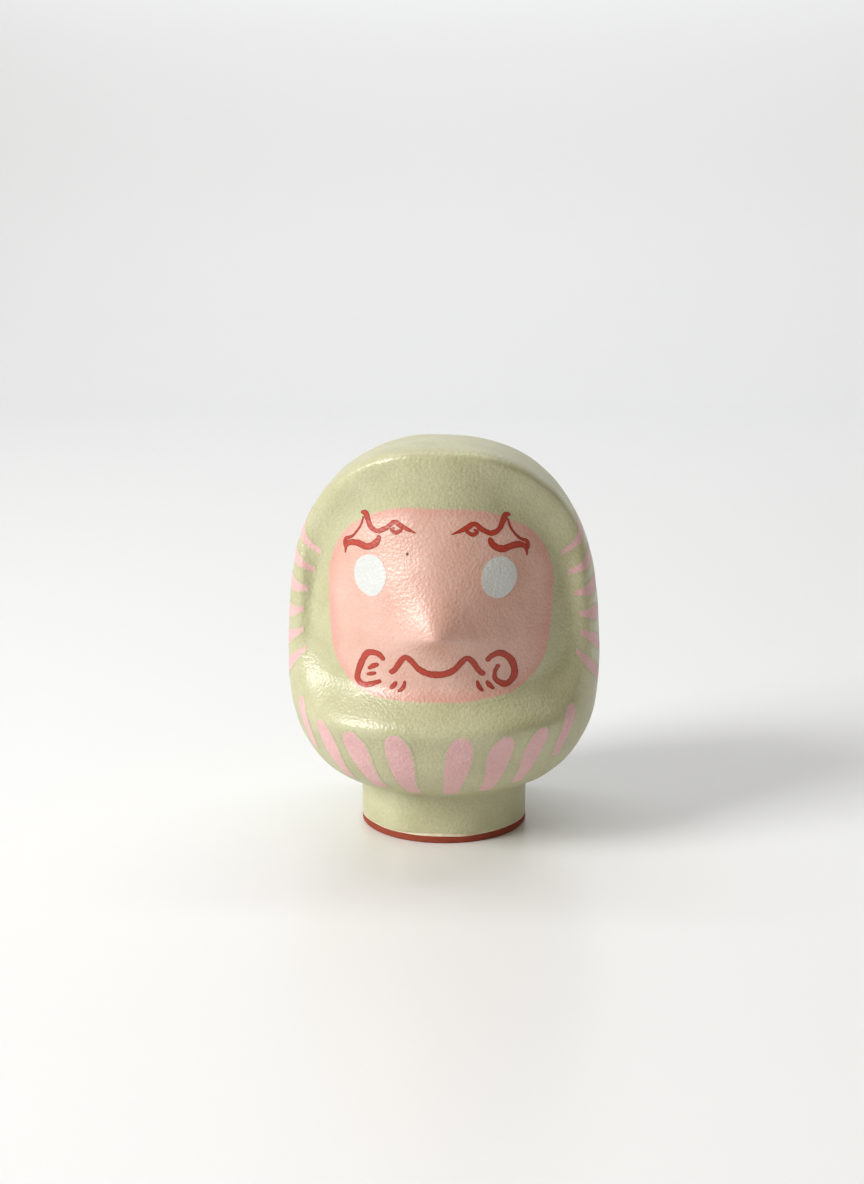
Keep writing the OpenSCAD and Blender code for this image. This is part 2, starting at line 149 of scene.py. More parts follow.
# Half width, front depth and back depth at height z. Each is a superellipse of the height, and
# under the belly it runs with a soft corner into the foot's radius; inset moves all of it inwards
def profile(z, inset):
    above = z >= doll["bellyZ"]
    rise = np.where(above, (z - doll["bellyZ"]) / (doll["domeRise"] - inset),
                    (doll["bellyZ"] - z) / (bellyDrop - inset))
    outline = roundOff(rise, np.where(above, doll["domeRound"], doll["bellyRound"]))
    hood = roundOff(rise, np.where(above, doll["hoodFull"], doll["bellyRound"]))
    frontDepth = mix(doll["halfWidth"], doll["frontDepth"], np.where(above, 1, ramp(z, *doll["frontBlend"])))
    backDepth = mix(doll["halfWidth"], doll["backDepth"], np.where(above, 1, ramp(z, *doll["backBlend"])))
    sizes = [(doll["halfWidth"] - inset) * outline, (frontDepth - inset) * hood,
             (backDepth - inset) * outline]
    foot = doll["footRadius"] - inset
    width, front, back = (np.where(above, size, softMax(size, foot, doll["footFillet"])) for size in sizes)
    lip = face["chinLip"] * np.exp(-((z - face["chin"] - face["lipUp"]) / face["lipHeight"]) ** 2)
    return width, front + lip, back


# 0 to 1 over the stretch of the face that starts at the share from, at height z
def upFrom(share, z):
    return ease(((z - face["chin"]) / face["span"] - share) / face["blendUp"])


# Squareness of the plan at height z: round at the belly and the back, squarer at the hood's top
def planPower(z, forward):
    hood = upFrom(doll["squareUp"], z) * ramp(forward, doll["squareFrom"], doll["squareTo"])
    return mix(doll["roundPlan"], doll["hoodSquare"], hood)


# How far the face stands in front of the axis: a leaning plane whose cheeks fall back with the
# square of x, and a nose that falls off as an exponential of the distance from its tip
def faceOut(x, z):
    fall = np.where(z > face["noseZ"], face["noseRise"], face["noseFall"])
    r = np.sqrt((2 * x / face["noseWidth"]) ** 2 + ((z - face["noseZ"]) / fall) ** 2 + face["noseSoft"])
    lean = face["foreheadOut"] + face["chinOut"] * (face["top"] - z) / face["span"]
    cheek = face["cheekBack"] * (x / face["halfWidth"]) ** 2
    return lean - cheek + face["noseOut"] * np.exp(-r ** face["noseTaper"])


# 1 on the face and 0 on the hood, with a rolled edge between them
def opening(x, z, width):
    side = (width - np.abs(x)) / face["sideRoll"]
    top = (doll["height"] - z) / face["browRoll"]
    low = (z - face["chin"]) / face["chinRoll"]
    return ease(softMin(softMin(side, top, face["cornerSoft"]), low, face["cornerSoft"]))


# Depth of the front: the hood, which stands no more than a brim out from the face, is mixed with
# the face by the opening
def frontOut(x, z, out, width, inset=0.0):
    inner = faceOut(x, z) - bowed(z) - inset
    brim = face["brim"] + face["brimFree"] * (1 - upFrom(face["brimUp"], z))
    return mix(softMin(out, inner + brim, face["brimSoft"]), inner, opening(x, z, width + inset))


# Point of the body at a turn in degrees from the front and at height z: the plan is a
# superellipse in polar form
def skin(turn, z, inset=0.0):
    turn, z = np.broadcast_arrays(np.radians(turn), z)
    sine, cosine = np.sin(turn), np.cos(turn)
    width, frontDepth, backDepth = profile(z, inset)
    depth = np.where(cosine > 0, frontDepth, backDepth)
    power = planPower(z, cosine)
    thin = 1e-6
    reach = ((np.abs(sine) / (width + thin)) ** power
             + (np.abs(cosine) / (depth + thin)) ** power) ** (-1 / power)
    x, out = reach * sine, reach * cosine
    out = np.where(cosine > 0, frontOut(x, z, out, width, inset), out)
    return np.stack([x, -out - bowed(z), z], axis=-1)


# Point of the front seen straight on, at x and z
def front(x, z):
    x, z = np.broadcast_arrays(x, z)
    width, frontDepth, backDepth = profile(z, 0.0)
    power = planPower(z, 1.0)
    out = frontDepth * roundOff(np.abs(x) / width, power)
    return np.stack([x, -frontOut(x, z, out, width) - bowed(z), z], axis=-1)


# Hand-made unevenness: crossed sine waves of three lengths push the surface in and out from the
# middle of the belly, and die away towards the turned foot
uneven = {
    "waves": [(24.0, 0.10), (10.5, 0.045), (4.3, 0.012)],      # length and height of each wave
    "slants": np.array([[0.86, 0.31, -0.41], [-0.22, 0.93, 0.30], [0.46, -0.17, 0.87]]),
    "shifts": np.array([0.4, 1.9, 3.3]),
    "fadeIn": (7.0, 16.0),       # heights between which it fades in above the foot
}


def handMade(points):
    total = np.zeros(points.shape[:-1])
    for length, size in uneven["waves"]:
        wave = np.sin(points @ uneven["slants"] * (2 * np.pi / length) + uneven["shifts"] * length)
        total += size * (wave[..., 0] * wave[..., 1] + wave[..., 1] * wave[..., 2])
    away = points - [0, 0, doll["bellyZ"]]
    away /= np.linalg.norm(away, axis=-1, keepdims=True)
    total *= ramp(points[..., 2], *uneven["fadeIn"])
    return points + away * total[..., None]


# Outward normal of point(u, v): the cross product of two short central differences
def normalsOf(point, u, v, stepU, stepV):
    across = point(u + stepU, v) - point(u - stepU, v)
    up = point(u, v + stepV) - point(u, v - stepV)
    n = np.cross(across, up)
    return n / np.linalg.norm(n, axis=-1, keepdims=True)


def frontPoint(x, z):
    return handMade(front(x, z))


def skinPoint(turn, z):
    return handMade(skin(turn, z))


# Quads of a grid of points that is numbered row by row; around joins the last column to the first
def gridFaces(rows, cols, around=False):
    row = np.arange(rows - 1)[:, None] * cols
    here = np.arange(cols if around else cols - 1)
    ahead = (here + 1) % cols
    return np.stack([row + here, row + ahead, row + cols + ahead, row + cols + here],
                    axis=-1).reshape(-1, 4)


# Outline of an open grid, in the direction in which its quads run
def gridRim(rows, cols):
    last = (rows - 1) * cols
    return np.concatenate([np.arange(cols - 1), np.arange(rows - 1) * cols + cols - 1,
                           last + np.arange(cols - 1, 0, -1), np.arange(rows - 1, 0, -1) * cols])


def addPiece(name, mesh, material, nodes):
    mesh.materials.append(material)
    piece = bpy.data.objects.new(name, mesh)
    bpy.context.scene.collection.objects.link(piece)
    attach(piece, "root")
    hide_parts(*nodes)
    return piece


# Closed solid out of patches: the faces lie on a patch's outer points, turned over on its inner
# points, and its rim is walled. Shading follows the smooth normals and is square on the walls
def addSolid(name, patches, material, nodes):
    points, polygons, corners, fields, first = [], [], [], {}, 0
    for patch in patches:
        outer, inner, n = (patch[key].reshape(-1, 3) for key in ("outer", "inner", "normals"))
        count = len(outer)
        rim = patch["rim"]
        ahead = np.roll(rim, -1)
        walls = np.stack([ahead, rim, rim + count, ahead + count], axis=1)
        both = np.concatenate([outer, inner])
        flat = np.cross(both[walls[:, 1]] - both[walls[:, 0]], both[walls[:, 2]] - both[walls[:, 0]])
        flat /= np.maximum(np.linalg.norm(flat, axis=-1, keepdims=True), 1e-12)
        turned = [f[:, ::-1] for f in patch["faces"]]
        points.append(both)
        for f in [*patch["faces"], *[t + count for t in turned], walls]:
            polygons += (f + first).tolist()
        corners += [n[f.ravel()] for f in patch["faces"]]
        corners += [-n[f.ravel()] for f in turned]
        corners.append(np.repeat(flat, 4, axis=0))
        for key, (top, under) in patch.get("fields", {}).items():
            values = [np.broadcast_to(v, outer.shape[0]) for v in (np.ravel(top), np.ravel(under))]
            fields.setdefault(key, []).extend(values)
        first += 2 * count
    mesh = bpy.data.meshes.new(name)
    mesh.from_pydata(np.concatenate(points) * mm, [], polygons)
    mesh.normals_split_custom_set(np.concatenate(corners))
    for key, values in fields.items():
        mesh.attributes.new(key, "FLOAT", "POINT").data.foreach_set("value", np.concatenate(values))
    return addPiece(name, mesh, material, nodes)


def linear(hexColour):           # sRGB hex to linear colour
    s = np.array([int(hexColour[i:i + 2], 16) for i in (1, 3, 5)]) / 255
    return (*np.where(s <= 0.04045, s / 12.92, ((s + 0.055) / 1.055) ** 2.4).tolist(), 1.0)


# Adds a node with its properties, the values of its inputs and the links into it
def add(tree, kind, values=None, links=None, **settings):
    node = tree.nodes.new(kind)
    for key, value in settings.items():
        setattr(node, key, value)
    for key, value in (values or {}).items():
        node.inputs[key].default_value = value
    for key, source in (links or {}).items():
        tree.links.new(source, node.inputs[key])
    return node


def newMaterial(name, roughness, ior=1.5):
    material = bpy.data.materials.new(name)
    material.use_nodes = True
    shader = material.node_tree.nodes["Principled BSDF"]
    shader.inputs["Roughness"].default_value = roughness
    shader.inputs["IOR"].default_value = ior
    place = add(material.node_tree, "ShaderNodeTexCoord").outputs["Object"]
    return material, material.node_tree, shader, place


# Sage-green water paint: body colour, cloudy brush-out, fine pigment grain and a few iron specks
sage = {
    "base": "#BDBB94", "pale": "#CAC8A5", "deep": "#ACAA80", "speck": "#54401F",
    "cloud": 9.0,                # mm from cloud to cloud
    "cloudEdge": 0.55,           # more is more ragged
    "clouds": (0.32, 0.68),      # stretch of the noise that runs from deep to pale
    "even": 0.55,                # share of the body colour over the clouds
    "grain": (0.94, 1.05),       # darkest and lightest grain
    "speckCell": 4.4,            # mm: at most one speck in each cell
    "speckSize": 0.13,           # mm radius
    "speckFree": 0.8,            # share of the cells that stay free
}
# Flesh-pink water paint, sprayed thin at the edge over the sage
pink = {
    "base": "#DAAE9E", "pale": "#E2BCAE", "deep": "#CE9A89", "cloud": 7.0, "cloudEdge": 0.5,
    "clouds": (0.32, 0.68), "even": 0.6, "grain": (0.95, 1.04),
    "edge": "#D08C81", "edgeWidth": (0.2, 2.6), "edgeShare": 0.4, "soft": 0.32, "ragged": 0.5,
    "speckPlace": (-5.8, 62.0), "speckSize": 0.38,     # x, z and radius in mm of one dark speck
}
# Rose-pink water paint of the stripes, laid with a soft flat brush
rose = {
    "base": "#DAA6A6", "pale": "#E4BBBB", "deep": "#DAA6A6", "cloud": 2.4, "cloudEdge": 0.5,
    "clouds": (0.0, 1.0), "even": 0.0, "grain": (0.94, 1.05), "soft": 0.22, "ragged": 0.4,
}
grainSize = 0.45                 # mm from grain to grain of the pigment
raggedSize = 0.9                 # mm from notch to notch of a painted edge


# Cloudy, grainy paint: two tones mixed by soft noise, evened out with the body colour, and
# multiplied by a fine grain
def cloudyPaint(tree, place, paint):
    cloud = add(tree, "ShaderNodeTexNoise", {"Scale": 1 / (paint["cloud"] * mm), "Detail": 3.0,
                                             "Roughness": paint["cloudEdge"]}, {"Vector": place})
    grain = add(tree, "ShaderNodeTexNoise", {"Scale": 1 / (grainSize * mm), "Detail": 1.0},
                {"Vector": place})
    low, high = paint["clouds"]
    spread = add(tree, "ShaderNodeMapRange", {"From Min": low, "From Max": high},
                 {"Value": cloud.outputs["Fac"]})
    tint = add(tree, "ShaderNodeMix", {6: linear(paint["deep"]), 7: linear(paint["pale"])},
               {0: spread.outputs["Result"]}, data_type="RGBA")
    even = add(tree, "ShaderNodeMix", {0: paint["even"], 7: linear(paint["base"])},
               {6: tint.outputs[2]}, data_type="RGBA")
    dark, light = paint["grain"]
    shade = add(tree, "ShaderNodeMapRange", {"From Min": 0.3, "From Max": 0.7, "To Min": dark,
                                             "To Max": light}, {"Value": grain.outputs["Fac"]})
    return add(tree, "ShaderNodeVectorMath", {}, {0: even.outputs[2], 1: shade.outputs["Result"]},
               operation="MULTIPLY").outputs[0]


def sageColour(tree, place):
    return speckled(tree, place, cloudyPaint(tree, place, sage))


# Iron specks: a dark dot round the middle of a few of the cells of a coarse cell pattern
def speckled(tree, place, colour):
    cell = add(tree, "ShaderNodeTexVoronoi", {"Scale": 1 / (sage["speckCell"] * mm)}, {"Vector": place})
    dot = add(tree, "ShaderNodeMapRange", {"From Min": sage["speckSize"] / sage["speckCell"],
                                           "From Max": 0.4 * sage["speckSize"] / sage["speckCell"]},
              {"Value": cell.outputs["Distance"]})
    pick = add(tree, "ShaderNodeSeparateColor", {}, {"Color": cell.outputs["Color"]})
    few = add(tree, "ShaderNodeMath", {1: sage["speckFree"]}, {0: pick.outputs["Red"]},
              operation="GREATER_THAN")
    both = add(tree, "ShaderNodeMath", {}, {0: dot.outputs["Result"], 1: few.outputs[0]},
               operation="MULTIPLY")
    return add(tree, "ShaderNodeMix", {7: linear(sage["speck"])}, {0: both.outputs[0], 6: colour},
               data_type="RGBA").outputs[2]


# Orange peel of thick water paint that dried in small round pebbles, with a finer tooth over it
peel = {"pebble": 0.60, "round": 0.7, "tooth": 0.25, "height": 0.085, "toothHeight": 0.02}


def peelBump(tree, place, strength=1.0):
    pebble = add(tree, "ShaderNodeTexVoronoi", {"Scale": 1 / (peel["pebble"] * mm),
                                                "Smoothness": peel["round"]}, {"Vector": place},
                 feature="SMOOTH_F1")
    tooth = add(tree, "ShaderNodeTexNoise", {"Scale": 1 / (peel["tooth"] * mm), "Detail": 0.0},
                {"Vector": place})
    fine = add(tree, "ShaderNodeBump", {"Strength": strength, "Distance": peel["toothHeight"] * mm},
               {"Height": tooth.outputs["Fac"]})
    return add(tree, "ShaderNodeBump", {"Strength": strength, "Distance": peel["height"] * mm},
               {"Height": pebble.outputs["Distance"], "Normal": fine.outputs["Normal"]}).outputs["Normal"]


# Two tones of one finish mixed by soft noise; gives the colour and the noise
def twoTone(tree, vector, finish, size, **noise):
    cloud = add(tree, "ShaderNodeTexNoise", {"Scale": 1 / (size * mm), **noise}, {"Vector": vector})
    tint = add(tree, "ShaderNodeMix", {6: linear(finish["dark"]), 7: linear(finish["light"])},
               {0: cloud.outputs["Fac"]}, data_type="RGBA")
    return tint.outputs[2], cloud.outputs["Fac"]


# The share of a coat that is painted: 1 inside its outline, 0 in the margin beyond it, with a
# ragged soft edge. The edge attribute is the distance in mm from the outline, inside positive
def paintShare(tree, place, soft, ragged):
    edge = add(tree, "ShaderNodeAttribute", attribute_name="edge").outputs["Fac"]
    rag = add(tree, "ShaderNodeTexNoise", {"Scale": 1 / (raggedSize * mm), "Detail": 3.0}, {"Vector": place})
    shift = add(tree, "ShaderNodeMath", {1: ragged, 2: -0.5 * ragged}, {0: rag.outputs["Fac"]},
                operation="MULTIPLY_ADD")
    moved = add(tree, "ShaderNodeMath", {}, {0: edge, 1: shift.outputs[0]}, operation="ADD")
    return add(tree, "ShaderNodeMapRange", {"From Min": -soft, "From Max": soft},
               {"Value": moved.outputs[0]}, interpolation_type="SMOOTHSTEP").outputs["Result"]


barePaper = {"dark": "#B7A47E", "light": "#D9CDAE", "fibre": 0.6}      # fibre in mm


# Satin sage paint on white ground over moulded paper: soft sheen, pebbled, bare paper inside
def makeShellPaint():
    material, tree, shader, place = newMaterial("sageWaterPaintOnPaper", 0.37, ior=1.65)
    colour = sageColour(tree, place)
    inside = add(tree, "ShaderNodeAttribute", attribute_name="inside").outputs["Fac"]
    bare, _ = twoTone(tree, place, barePaper, barePaper["fibre"], Detail=4.0, Distortion=1.5)
    both = add(tree, "ShaderNodeMix", {}, {0: inside, 6: colour, 7: bare}, data_type="RGBA")
    tree.links.new(both.outputs[2], shader.inputs["Base Color"])
    tree.links.new(peelBump(tree, place), shader.inputs["Normal"])
    return material


# A coat over the sage, which shows in the margin beyond its ragged edge
def overSage(tree, place, colour, paint):
    share = paintShare(tree, place, paint["soft"], paint["ragged"])
    return add(tree, "ShaderNodeMix", {}, {0: share, 6: sageColour(tree, place), 7: colour},
               data_type="RGBA").outputs[2]


# Satin flesh pink with a soft sheen, warmer and deeper towards its edge, and one dark speck
def makeFacePaint():
    material, tree, shader, place = newMaterial("fleshPinkWaterPaint", 0.38, ior=1.65)
    edge = add(tree, "ShaderNodeAttribute", attribute_name="edge").outputs["Fac"]
    near, far = pink["edgeWidth"]
    warm = add(tree, "ShaderNodeMapRange", {"From Min": near, "From Max": far,
                                            "To Min": pink["edgeShare"], "To Max": 0.0},
               {"Value": edge}, interpolation_type="SMOOTHSTEP")
    warmed = add(tree, "ShaderNodeMix", {7: linear(pink["edge"])},
                 {0: warm.outputs["Result"], 6: cloudyPaint(tree, place, pink)}, data_type="RGBA")
    speckX, speckZ = pink["speckPlace"]
    speckAt = frontPoint(np.array(speckX), np.array(speckZ)) * mm
    away = add(tree, "ShaderNodeVectorMath", {1: speckAt.tolist()}, {0: place}, operation="DISTANCE")
    dot = add(tree, "ShaderNodeMapRange", {"From Min": pink["speckSize"] * mm,
                                           "From Max": 0.6 * pink["speckSize"] * mm},
              {"Value": away.outputs["Value"]})
    dotted = add(tree, "ShaderNodeMix", {7: linear(sage["speck"])},
                 {0: dot.outputs["Result"], 6: overSage(tree, place, warmed.outputs[2], pink)},
                 data_type="RGBA")
    tree.links.new(dotted.outputs[2], shader.inputs["Base Color"])
    tree.links.new(peelBump(tree, place), shader.inputs["Normal"])
    return material


# Thin rose pink, chalkier than the face
def makeStripePaint():
    material, tree, shader, place = newMaterial("rosePinkBrushedStripe", 0.48, ior=1.6)
    coat = overSage(tree, place, cloudyPaint(tree, place, rose), rose)
    tree.links.new(coat, shader.inputs["Base Color"])
    tree.links.new(peelBump(tree, place), shader.inputs["Normal"])
    return material


eyeWhite = {"dark": "#C8CAC7", "light": "#DADCDA", "grain": 0.5, "relief": 0.8}


# White shell-powder paint of the eyes: chalk white, a little grainy, low sheen
def makeEyePaint():
    material, tree, shader, place = newMaterial("shellWhiteEyePaint", 0.42, ior=1.5)
    tint, _ = twoTone(tree, place, eyeWhite, eyeWhite["grain"], Detail=2.0)
    tree.links.new(tint, shader.inputs["Base Color"])
    tree.links.new(peelBump(tree, place, eyeWhite["relief"]), shader.inputs["Normal"])
    return material


ironRed = {"dark": "#A32E1C", "light": "#BC4531", "blot": 0.55, "relief": 0.8,
           "pool": "#942A18", "poolWidth": 0.32}


# Iron-red brush paint, flooded on wet: darker where it pooled at the edges of the line
def makeBrushPaint():
    material, tree, shader, place = newMaterial("ironRedBrushPaint", 0.42, ior=1.5)
    edge = add(tree, "ShaderNodeAttribute", attribute_name="edge").outputs["Fac"]
    pool = add(tree, "ShaderNodeMapRange", {"From Min": 0.0, "From Max": ironRed["poolWidth"]},
               {"Value": edge}, interpolation_type="SMOOTHSTEP")
    body, _ = twoTone(tree, place, ironRed, ironRed["blot"], Detail=3.0)
    tint = add(tree, "ShaderNodeMix", {6: linear(ironRed["pool"])}, {0: pool.outputs["Result"], 7: body},
               data_type="RGBA")
    tree.links.new(tint.outputs[2], shader.inputs["Base Color"])
    tree.links.new(peelBump(tree, place, ironRed["relief"]), shader.inputs["Normal"])
    return material


redClay = {"dark": "#74260F", "light": "#A5462A", "streak": 2.6, "levelled": 9.0,
           "grit": 0.3, "gritHeight": 0.04}


# Red-brown earthenware, turned and wiped: matt, with fine level streaks from the wheel
def makeClay():
    material, tree, shader, place = newMaterial("turnedRedEarthenware", 0.72, ior=1.5)
    level = add(tree, "ShaderNodeMapping", {"Scale": (1.0, 1.0, redClay["levelled"])},
                {"Vector": place})
    tint, _ = twoTone(tree, level.outputs["Vector"], redClay, redClay["streak"], Detail=4.0, Roughness=0.6)
    grit = add(tree, "ShaderNodeTexNoise", {"Scale": 1 / (redClay["grit"] * mm), "Detail": 2.0},
               {"Vector": place})
    bump = add(tree, "ShaderNodeBump", {"Strength": 0.8, "Distance": redClay["gritHeight"] * mm},
               {"Height": grit.outputs["Fac"]})
    tree.links.new(tint, shader.inputs["Base Color"])
    tree.links.new(bump.outputs["Normal"], shader.inputs["Normal"])
    return material


ground = {"dark": "#CDBB98", "light": "#EFE7D2", "cloud": 1.2}


# White shell-powder ground, brushed on: cream, matt, a hairline of it shows above the clay
def makePrimer():
    material, tree, shader, place = newMaterial("shellPowderGround", 0.65, ior=1.5)
    tint, _ = twoTone(tree, place, ground, ground["cloud"], Detail=3.0)
    tree.links.new(tint, shader.inputs["Base Color"])
    return material


mulberry = {"dark": "#BFAE86", "light": "#E0D6BB", "fibre": 0.8, "fibreHeight": 0.08}


# Bare mulberry paper pasted inside the shell: fibrous, matt, cream to tan
def makePastedPaper():
    material, tree, shader, place = newMaterial("pastedMulberryPaper", 0.9, ior=1.45)
    tint, fibre = twoTone(tree, place, mulberry, mulberry["fibre"], Detail=5.0, Distortion=2.0)
    bump = add(tree, "ShaderNodeBump", {"Strength": 1.0, "Distance": mulberry["fibreHeight"] * mm},
               {"Height": fibre})
    tree.links.new(tint, shader.inputs["Base Color"])
    tree.links.new(bump.outputs["Normal"], shader.inputs["Normal"])
    return material


shellPaint, facePaint, stripePaint = makeShellPaint(), makeFacePaint(), makeStripePaint()
eyePaint, brushPaint = makeEyePaint(), makeBrushPaint()
clay, primer, pastedPaper = makeClay(), makePrimer(), makePastedPaper()
print("materials made")

# Moulded paper shells, front and back. Rows crowd at the foot's corner and run over the dome in
# even steps of the outline; the painted lower edge wanders a little above the clay
shell = {"frontCols": 210, "backCols": 150, "footRows": 10, "cornerRows": 18, "bodyRows": 128,
         "domeRows": 34, "cornerBelow": 2.2, "cornerAbove": 3.2, "crownHole": 0.01,
         "edgeWander": 0.16, "edgeHeight": 1.5}


def shellHeights():
    cornerLow, cornerHigh = doll["footTop"] - shell["cornerBelow"], doll["footTop"] + shell["cornerAbove"]
    low = np.linspace(doll["shellLow"], cornerLow, shell["footRows"], endpoint=False)
    middle = np.linspace(cornerLow, cornerHigh, shell["cornerRows"], endpoint=False)
    high = np.linspace(cornerHigh, face["top"], shell["bodyRows"], endpoint=False)
    left = roundOff((face["top"] - doll["bellyZ"]) / doll["domeRise"], doll["domeRound"])
    ring = np.linspace(left, shell["crownHole"], shell["domeRows"])
    dome = doll["bellyZ"] + doll["domeRise"] * roundOff(ring, doll["domeRound"])
    return np.concatenate([low, middle, high, dome])


def edgeWave(turn):              # slow wander of a brushed edge round the foot, -1 to 1
    t = np.radians(turn)
    return 0.45 * np.sin(3 * t + 0.8) + 0.35 * np.sin(7 * t + 2.1) + 0.2 * np.sin(13 * t)


heights = shellHeights()
rowNumbers = np.arange(len(heights))


def shellPoint(turn, row):       # row may lie between two of the shell's rows
    z = np.interp(row, rowNumbers, heights)
    low = np.clip(1 - (z - doll["shellLow"]) / shell["edgeHeight"], 0, 1)
    return handMade(skin(turn, z + shell["edgeWander"] * edgeWave(turn) * low))


# Half of the shell between two turns: rows of the outer skin over rows of the inner skin, closed
# by a fan at the crown and by walls along the seams and the foot's edge
def halfShell(name, start, end, cols, node):
    turn = np.linspace(start, end, cols + 1)[None, :]
    row = rowNumbers[:, None].astype(float)
    outer = shellPoint(turn, row)
    n = normalsOf(shellPoint, turn, row, 0.2, 0.02)
    squeeze = 1 - doll["wall"] / (doll["height"] - face["top"])
    innerZ = np.where(heights < face["top"], heights, face["top"] + (heights - face["top"]) * squeeze)
    inner = skin(turn, innerZ[:, None], doll["wall"])
    crown = len(heights) * (cols + 1)
    first = crown - cols - 1 + np.arange(cols)
    fan = np.stack([first, first + 1, np.full(cols, crown)], axis=1)
    sides = np.arange(len(heights)) * (cols + 1)
    rim = np.concatenate([np.arange(cols), sides + cols, [crown], sides[:0:-1]])
    crownTop = handMade(np.array([[0.0, -doll["bow"], doll["height"]]]))
    return addSolid(name, [{
        "outer": np.concatenate([outer.reshape(-1, 3), crownTop]),
        "inner": np.concatenate([inner.reshape(-1, 3), [[0, -doll["bow"], doll["height"] - doll["wall"]]]]),
        "normals": np.concatenate([n.reshape(-1, 3), [[0, 0, 1]]]),
        "faces": [gridFaces(len(heights), cols + 1), fan], "rim": rim,
        "fields": {"inside": (0.0, 1.0)}}], shellPaint, [node])


halfShell("frontShell", -90, 90, shell["frontCols"], "front_shell")
halfShell("backShell", 90, 270, shell["backCols"], "back_shell")
print("paper shells made")

# Clay weight: a turned plug whose corners are rounded, with the stick hole through it
weight = {"bandTop": primerLow.z / mm, "plugGap": 0.15,
          "length": stickHole["dims"]["length_mm"], "hole": stickHole["dims"]["r_mm"],
          "corners": [0.3, 0.45, 0.12, 0.2, 0.6, 0.4], "cornerSteps": 7, "around": 192}


# Closed outline with rounded corners: each corner is a quadratic curve between two points that
# lie its radius away on its two sides. Gives points and outward normals
def roundedLoop(corners, radii, steps):
    corners, radii = np.array(corners, float), np.array(radii, float)[:, None]
    toLast, toNext = np.roll(corners, 1, 0) - corners, np.roll(corners, -1, 0) - corners
    start = corners + radii * toLast / np.linalg.norm(toLast, axis=1, keepdims=True)
    end = corners + radii * toNext / np.linalg.norm(toNext, axis=1, keepdims=True)
    t = np.linspace(0, 1, steps)[None, :, None]
    points = (start[:, None] * (1 - t) ** 2 + corners[:, None] * 2 * t * (1 - t) + end[:, None] * t ** 2)
    along = (corners - start)[:, None] * (1 - t) + (end - corners)[:, None] * t
    n = np.stack([along[..., 1], -along[..., 0]], axis=-1)
    n /= np.linalg.norm(n, axis=-1, keepdims=True)
    return points.reshape(-1, 2), n.reshape(-1, 2)


# Ring turned from a closed outline of radius and height; wander moves its heights round the ring
def addRing(name, outline, normals, around, wander, material, nodes):
    turn = np.linspace(0, 360, around, endpoint=False)
    spin = np.stack([np.cos(np.radians(turn)), np.sin(np.radians(turn))], axis=-1)
    count = len(outline)
    flat = outline[:, None, :1] * spin
    height = np.broadcast_to(outline[:, None, 1:], (count, around, 1)) + wander(turn, outline)[..., None]
    points = np.concatenate([flat, height], axis=-1)
    side = np.broadcast_to(normals[:, None, 1:], (count, around, 1))
    n = np.concatenate([normals[:, None, :1] * spin, side], axis=-1)
    order = np.arange(count + 1) % count
    faces = gridFaces(count + 1, around, around=True)
    faces = order[faces // around] * around + faces % around
    mesh = bpy.data.meshes.new(name)
    mesh.from_pydata(points.reshape(-1, 3) * mm, [], faces.tolist())
    mesh.normals_split_custom_set(n.reshape(-1, 3)[faces.ravel()])
    return addPiece(name, mesh, material, nodes)


def noWander(turn, loop):        # turned true on the wheel
    return np.zeros((len(loop), len(turn)))


footR, bandTop = doll["footRadius"], weight["bandTop"]
plugR = footR - doll["wall"] - weight["plugGap"]
weightLoop, weightNormals = roundedLoop(
    [(weight["hole"], 0), (footR, 0), (footR, bandTop), (plugR, bandTop), (plugR, weight["length"]),
     (weight["hole"], weight["length"])], weight["corners"], weight["cornerSteps"])
addRing("clayWeight", weightLoop, weightNormals, weight["around"], noWander, clay,
        ["foot_weight"])

# Ground bead: the hairline of white ground between the clay and the sage coat, laid by brush
bead = {"proud": 0.03, "around": 256, "wander": 0.14, "lower": 0.4, "shift": 40.0, "over": 0.15,
        "corners": [0.1, 0.05, 0.05, 0.1], "cornerSteps": 4, "cornerSize": (0.2, 0.1)}
beadTop = doll["shellLow"] + bead["over"]
beadLoop, beadNormals = roundedLoop(
    [(footR - doll["wall"], bandTop), (footR + bead["proud"], bandTop),
     (footR - bead["proud"], beadTop), (footR - doll["wall"], beadTop)],
    bead["corners"], bead["cornerSteps"])


def beadWander(turn, loop):      # only the bead's outer lower corner runs down over the clay
    across, up = bead["cornerSize"]
    corner = (loop[:, 1] < bandTop + up) & (loop[:, 0] > footR - across)
    return bead["wander"] * corner[:, None] * (edgeWave(turn + bead["shift"]) - bead["lower"])


addRing("groundBead", beadLoop, beadNormals, bead["around"], beadWander, primer, ["primer_edge"])
print("foot made")

# Lifts of the coats above the shell, in mm
lift = {"under": 0.008, "coat": 0.035, "markUnder": 0.042, "mark": 0.085}

# Painted face: a rounded outline, squarer below, about the nose; the coat runs on past its
# outline by a margin that takes the colour of the sage
facePatch = {"midUp": 0.567, "halfUp": 0.429, "roundAbove": 2.7, "roundBelow": 3.4,
             "margin": 0.8, "rings": 60, "around": 200, "wander": 0.22, "wellInside": 20.0}


# Point of a superellipse at an angle, with its own roundness above and below the middle
def faceOval(angle, width, height):
    power = 2 / np.where(np.sin(angle) > 0, facePatch["roundAbove"], facePatch["roundBelow"])
    cosine, sine = np.cos(angle), np.sin(angle)
    return (width * np.sign(cosine) * np.abs(cosine) ** power,
            height * np.sign(sine) * np.abs(sine) ** power)


